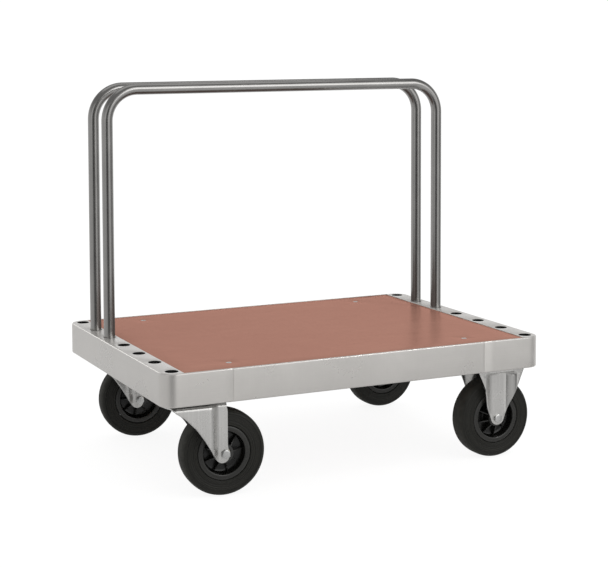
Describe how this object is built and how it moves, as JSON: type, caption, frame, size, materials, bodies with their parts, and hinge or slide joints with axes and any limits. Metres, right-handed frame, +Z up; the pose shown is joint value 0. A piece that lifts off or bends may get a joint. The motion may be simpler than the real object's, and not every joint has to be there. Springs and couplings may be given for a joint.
{
  "type": "platform trolley",
  "caption": "Platform trolley with a zinc-plated sheet frame, a coated board, swivel and fixed casters, and lift-out tubular hoops standing in rows of sockets.",
  "frame": {"origin": "on the floor under the middle of the platform", "axes": "+X along the platform towards the fixed casters, +Y across it, +Z up"},
  "size_m": [1, 0.7, 0.931],
  "materials": {
    "zinc_frame": "satin zinc plating",
    "zinc_fork": "satin zinc plating",
    "hoop_steel": "bright drawn steel tube, clear coated",
    "board": "red-brown film-faced plywood, semi-gloss",
    "bright_steel": "bright zinc",
    "bearing_steel": "ground",
    "rubber": "solid rubber, satin",
    "rim_plastic": "moulded polypropylene",
    "plug_plastic": "moulded polyethylene",
    "seal_plastic": "moulded",
    "cage_plastic": "moulded nylon"
  },
  "bodies": {
    "root": {"end_beam_left": "zinc_frame", "end_beam_right": "zinc_frame", "side_rail_front": "zinc_frame", "side_rail_rear": "zinc_frame", "cross_member_left": "zinc_frame", "cross_member_right": "zinc_frame", "cross_member_middle": "zinc_frame", "deck_ledges": "zinc_frame", "deck_board": "board", "deck_screws": "bright_steel", "deck_nuts": "bright_steel", "socket_cups_left": "zinc_frame", "socket_cups_right": "zinc_frame", "swivel_plate_front": "zinc_fork", "swivel_plate_rear": "zinc_fork", "kingpins": "bright_steel", "kingpin_nuts": "bright_steel", "bearing_cups": "zinc_fork", "fixed_fork_front": "zinc_fork", "fixed_fork_rear": "zinc_fork", "fixed_axle_bolts": "bright_steel", "fixed_axle_nuts": "bright_steel", "fixed_axle_sleeves": "bright_steel", "caster_bolts": "bright_steel", "caster_nuts": "bright_steel"},
    "swivel_front": {"swivel_fork_front": "zinc_fork", "seal_ring_front": "seal_plastic", "swivel_axle_bolt_front": "bright_steel", "swivel_axle_nut_front": "bright_steel", "swivel_sleeve_front": "bright_steel"},
    "upper_ball_ring_front": {"upper_balls_front": "bearing_steel"},
    "lower_ball_ring_front": {"lower_balls_front": "bearing_steel"},
    "wheel_left_front": {"tyre_left_front": "rubber", "rim_left_front": "rim_plastic"},
    "cage_left_front": {"roller_cage_left_front": "cage_plastic"},
    "wheel_right_front": {"tyre_right_front": "rubber", "rim_right_front": "rim_plastic"},
    "cage_right_front": {"roller_cage_right_front": "cage_plastic"},
    "hoop_front": {"hoop_front": "hoop_steel", "hoop_plugs_front": "plug_plastic"},
    "swivel_rear": {"swivel_fork_rear": "zinc_fork", "seal_ring_rear": "seal_plastic", "swivel_axle_bolt_rear": "bright_steel", "swivel_axle_nut_rear": "bright_steel", "swivel_sleeve_rear": "bright_steel"},
    "upper_ball_ring_rear": {"upper_balls_rear": "bearing_steel"},
    "lower_ball_ring_rear": {"lower_balls_rear": "bearing_steel"},
    "wheel_left_rear": {"tyre_left_rear": "rubber", "rim_left_rear": "rim_plastic"},
    "cage_left_rear": {"roller_cage_left_rear": "cage_plastic"},
    "wheel_right_rear": {"tyre_right_rear": "rubber", "rim_right_rear": "rim_plastic"},
    "cage_right_rear": {"roller_cage_right_rear": "cage_plastic"},
    "hoop_rear": {"hoop_rear": "hoop_steel", "hoop_plugs_rear": "plug_plastic"}
  },
  "joints": [
    {"name": "swivel_front", "type": "hinge", "parent": "root", "child": "swivel_front", "pos_m": [-0.393, -0.284, 0], "axis": [0, 0, 1], "continuous": true},
    {"name": "upper_balls_front", "type": "hinge", "parent": "root", "child": "upper_ball_ring_front", "pos_m": [-0.393, -0.284, 0], "axis": [0, 0, 1], "continuous": true},
    {"name": "lower_balls_front", "type": "hinge", "parent": "root", "child": "lower_ball_ring_front", "pos_m": [-0.393, -0.284, 0], "axis": [0, 0, 1], "continuous": true},
    {"name": "wheel_left_front", "type": "hinge", "parent": "swivel_front", "child": "wheel_left_front", "pos_m": [-0.33817, -0.28832, 0.1], "axis": [0.0785, 0.9969, 0], "continuous": true},
    {"name": "cage_left_front", "type": "hinge", "parent": "swivel_front", "child": "cage_left_front", "pos_m": [-0.33817, -0.28832, 0.1], "axis": [0.0785, 0.9969, 0], "continuous": true},
    {"name": "wheel_right_front", "type": "hinge", "parent": "root", "child": "wheel_right_front", "pos_m": [0.393, -0.284, 0.1], "axis": [0, 1, 0], "continuous": true},
    {"name": "cage_right_front", "type": "hinge", "parent": "root", "child": "cage_right_front", "pos_m": [0.393, -0.284, 0.1], "axis": [0, 1, 0], "continuous": true},
    {"name": "hoop_lift_front", "type": "slide", "parent": "root", "child": "hoop_front", "axis": [0, 0, 1], "range_m": [0, 0.12]},
    {"name": "swivel_rear", "type": "hinge", "parent": "root", "child": "swivel_rear", "pos_m": [-0.393, 0.284, 0], "axis": [0, 0, 1], "continuous": true},
    {"name": "upper_balls_rear", "type": "hinge", "parent": "root", "child": "upper_ball_ring_rear", "pos_m": [-0.393, 0.284, 0], "axis": [0, 0, 1], "continuous": true},
    {"name": "lower_balls_rear", "type": "hinge", "parent": "root", "child": "lower_ball_ring_rear", "pos_m": [-0.393, 0.284, 0], "axis": [0, 0, 1], "continuous": true},
    {"name": "wheel_left_rear", "type": "hinge", "parent": "swivel_rear", "child": "wheel_left_rear", "pos_m": [-0.33825, 0.27873, 0.1], "axis": [0.0958, 0.9954, 0], "continuous": true},
    {"name": "cage_left_rear", "type": "hinge", "parent": "swivel_rear", "child": "cage_left_rear", "pos_m": [-0.33825, 0.27873, 0.1], "axis": [0.0958, 0.9954, 0], "continuous": true},
    {"name": "wheel_right_rear", "type": "hinge", "parent": "root", "child": "wheel_right_rear", "pos_m": [0.393, 0.284, 0.1], "axis": [0, 1, 0], "continuous": true},
    {"name": "cage_right_rear", "type": "hinge", "parent": "root", "child": "cage_right_rear", "pos_m": [0.393, 0.284, 0.1], "axis": [0, 1, 0], "continuous": true},
    {"name": "hoop_lift_rear", "type": "slide", "parent": "root", "child": "hoop_rear", "axis": [0, 0, 1], "range_m": [0, 0.12]}
  ],
  "couplings": [
    {"joint": "upper_balls_front", "follows": "swivel_front", "ratio": 0.5},
    {"joint": "lower_balls_front", "follows": "swivel_front", "ratio": 0.5},
    {"joint": "cage_left_front", "follows": "wheel_left_front", "ratio": 0.584},
    {"joint": "cage_right_front", "follows": "wheel_right_front", "ratio": 0.584},
    {"joint": "upper_balls_rear", "follows": "swivel_rear", "ratio": 0.5},
    {"joint": "lower_balls_rear", "follows": "swivel_rear", "ratio": 0.5},
    {"joint": "cage_left_rear", "follows": "wheel_left_rear", "ratio": 0.584},
    {"joint": "cage_right_rear", "follows": "wheel_right_rear", "ratio": 0.584}
  ]
}
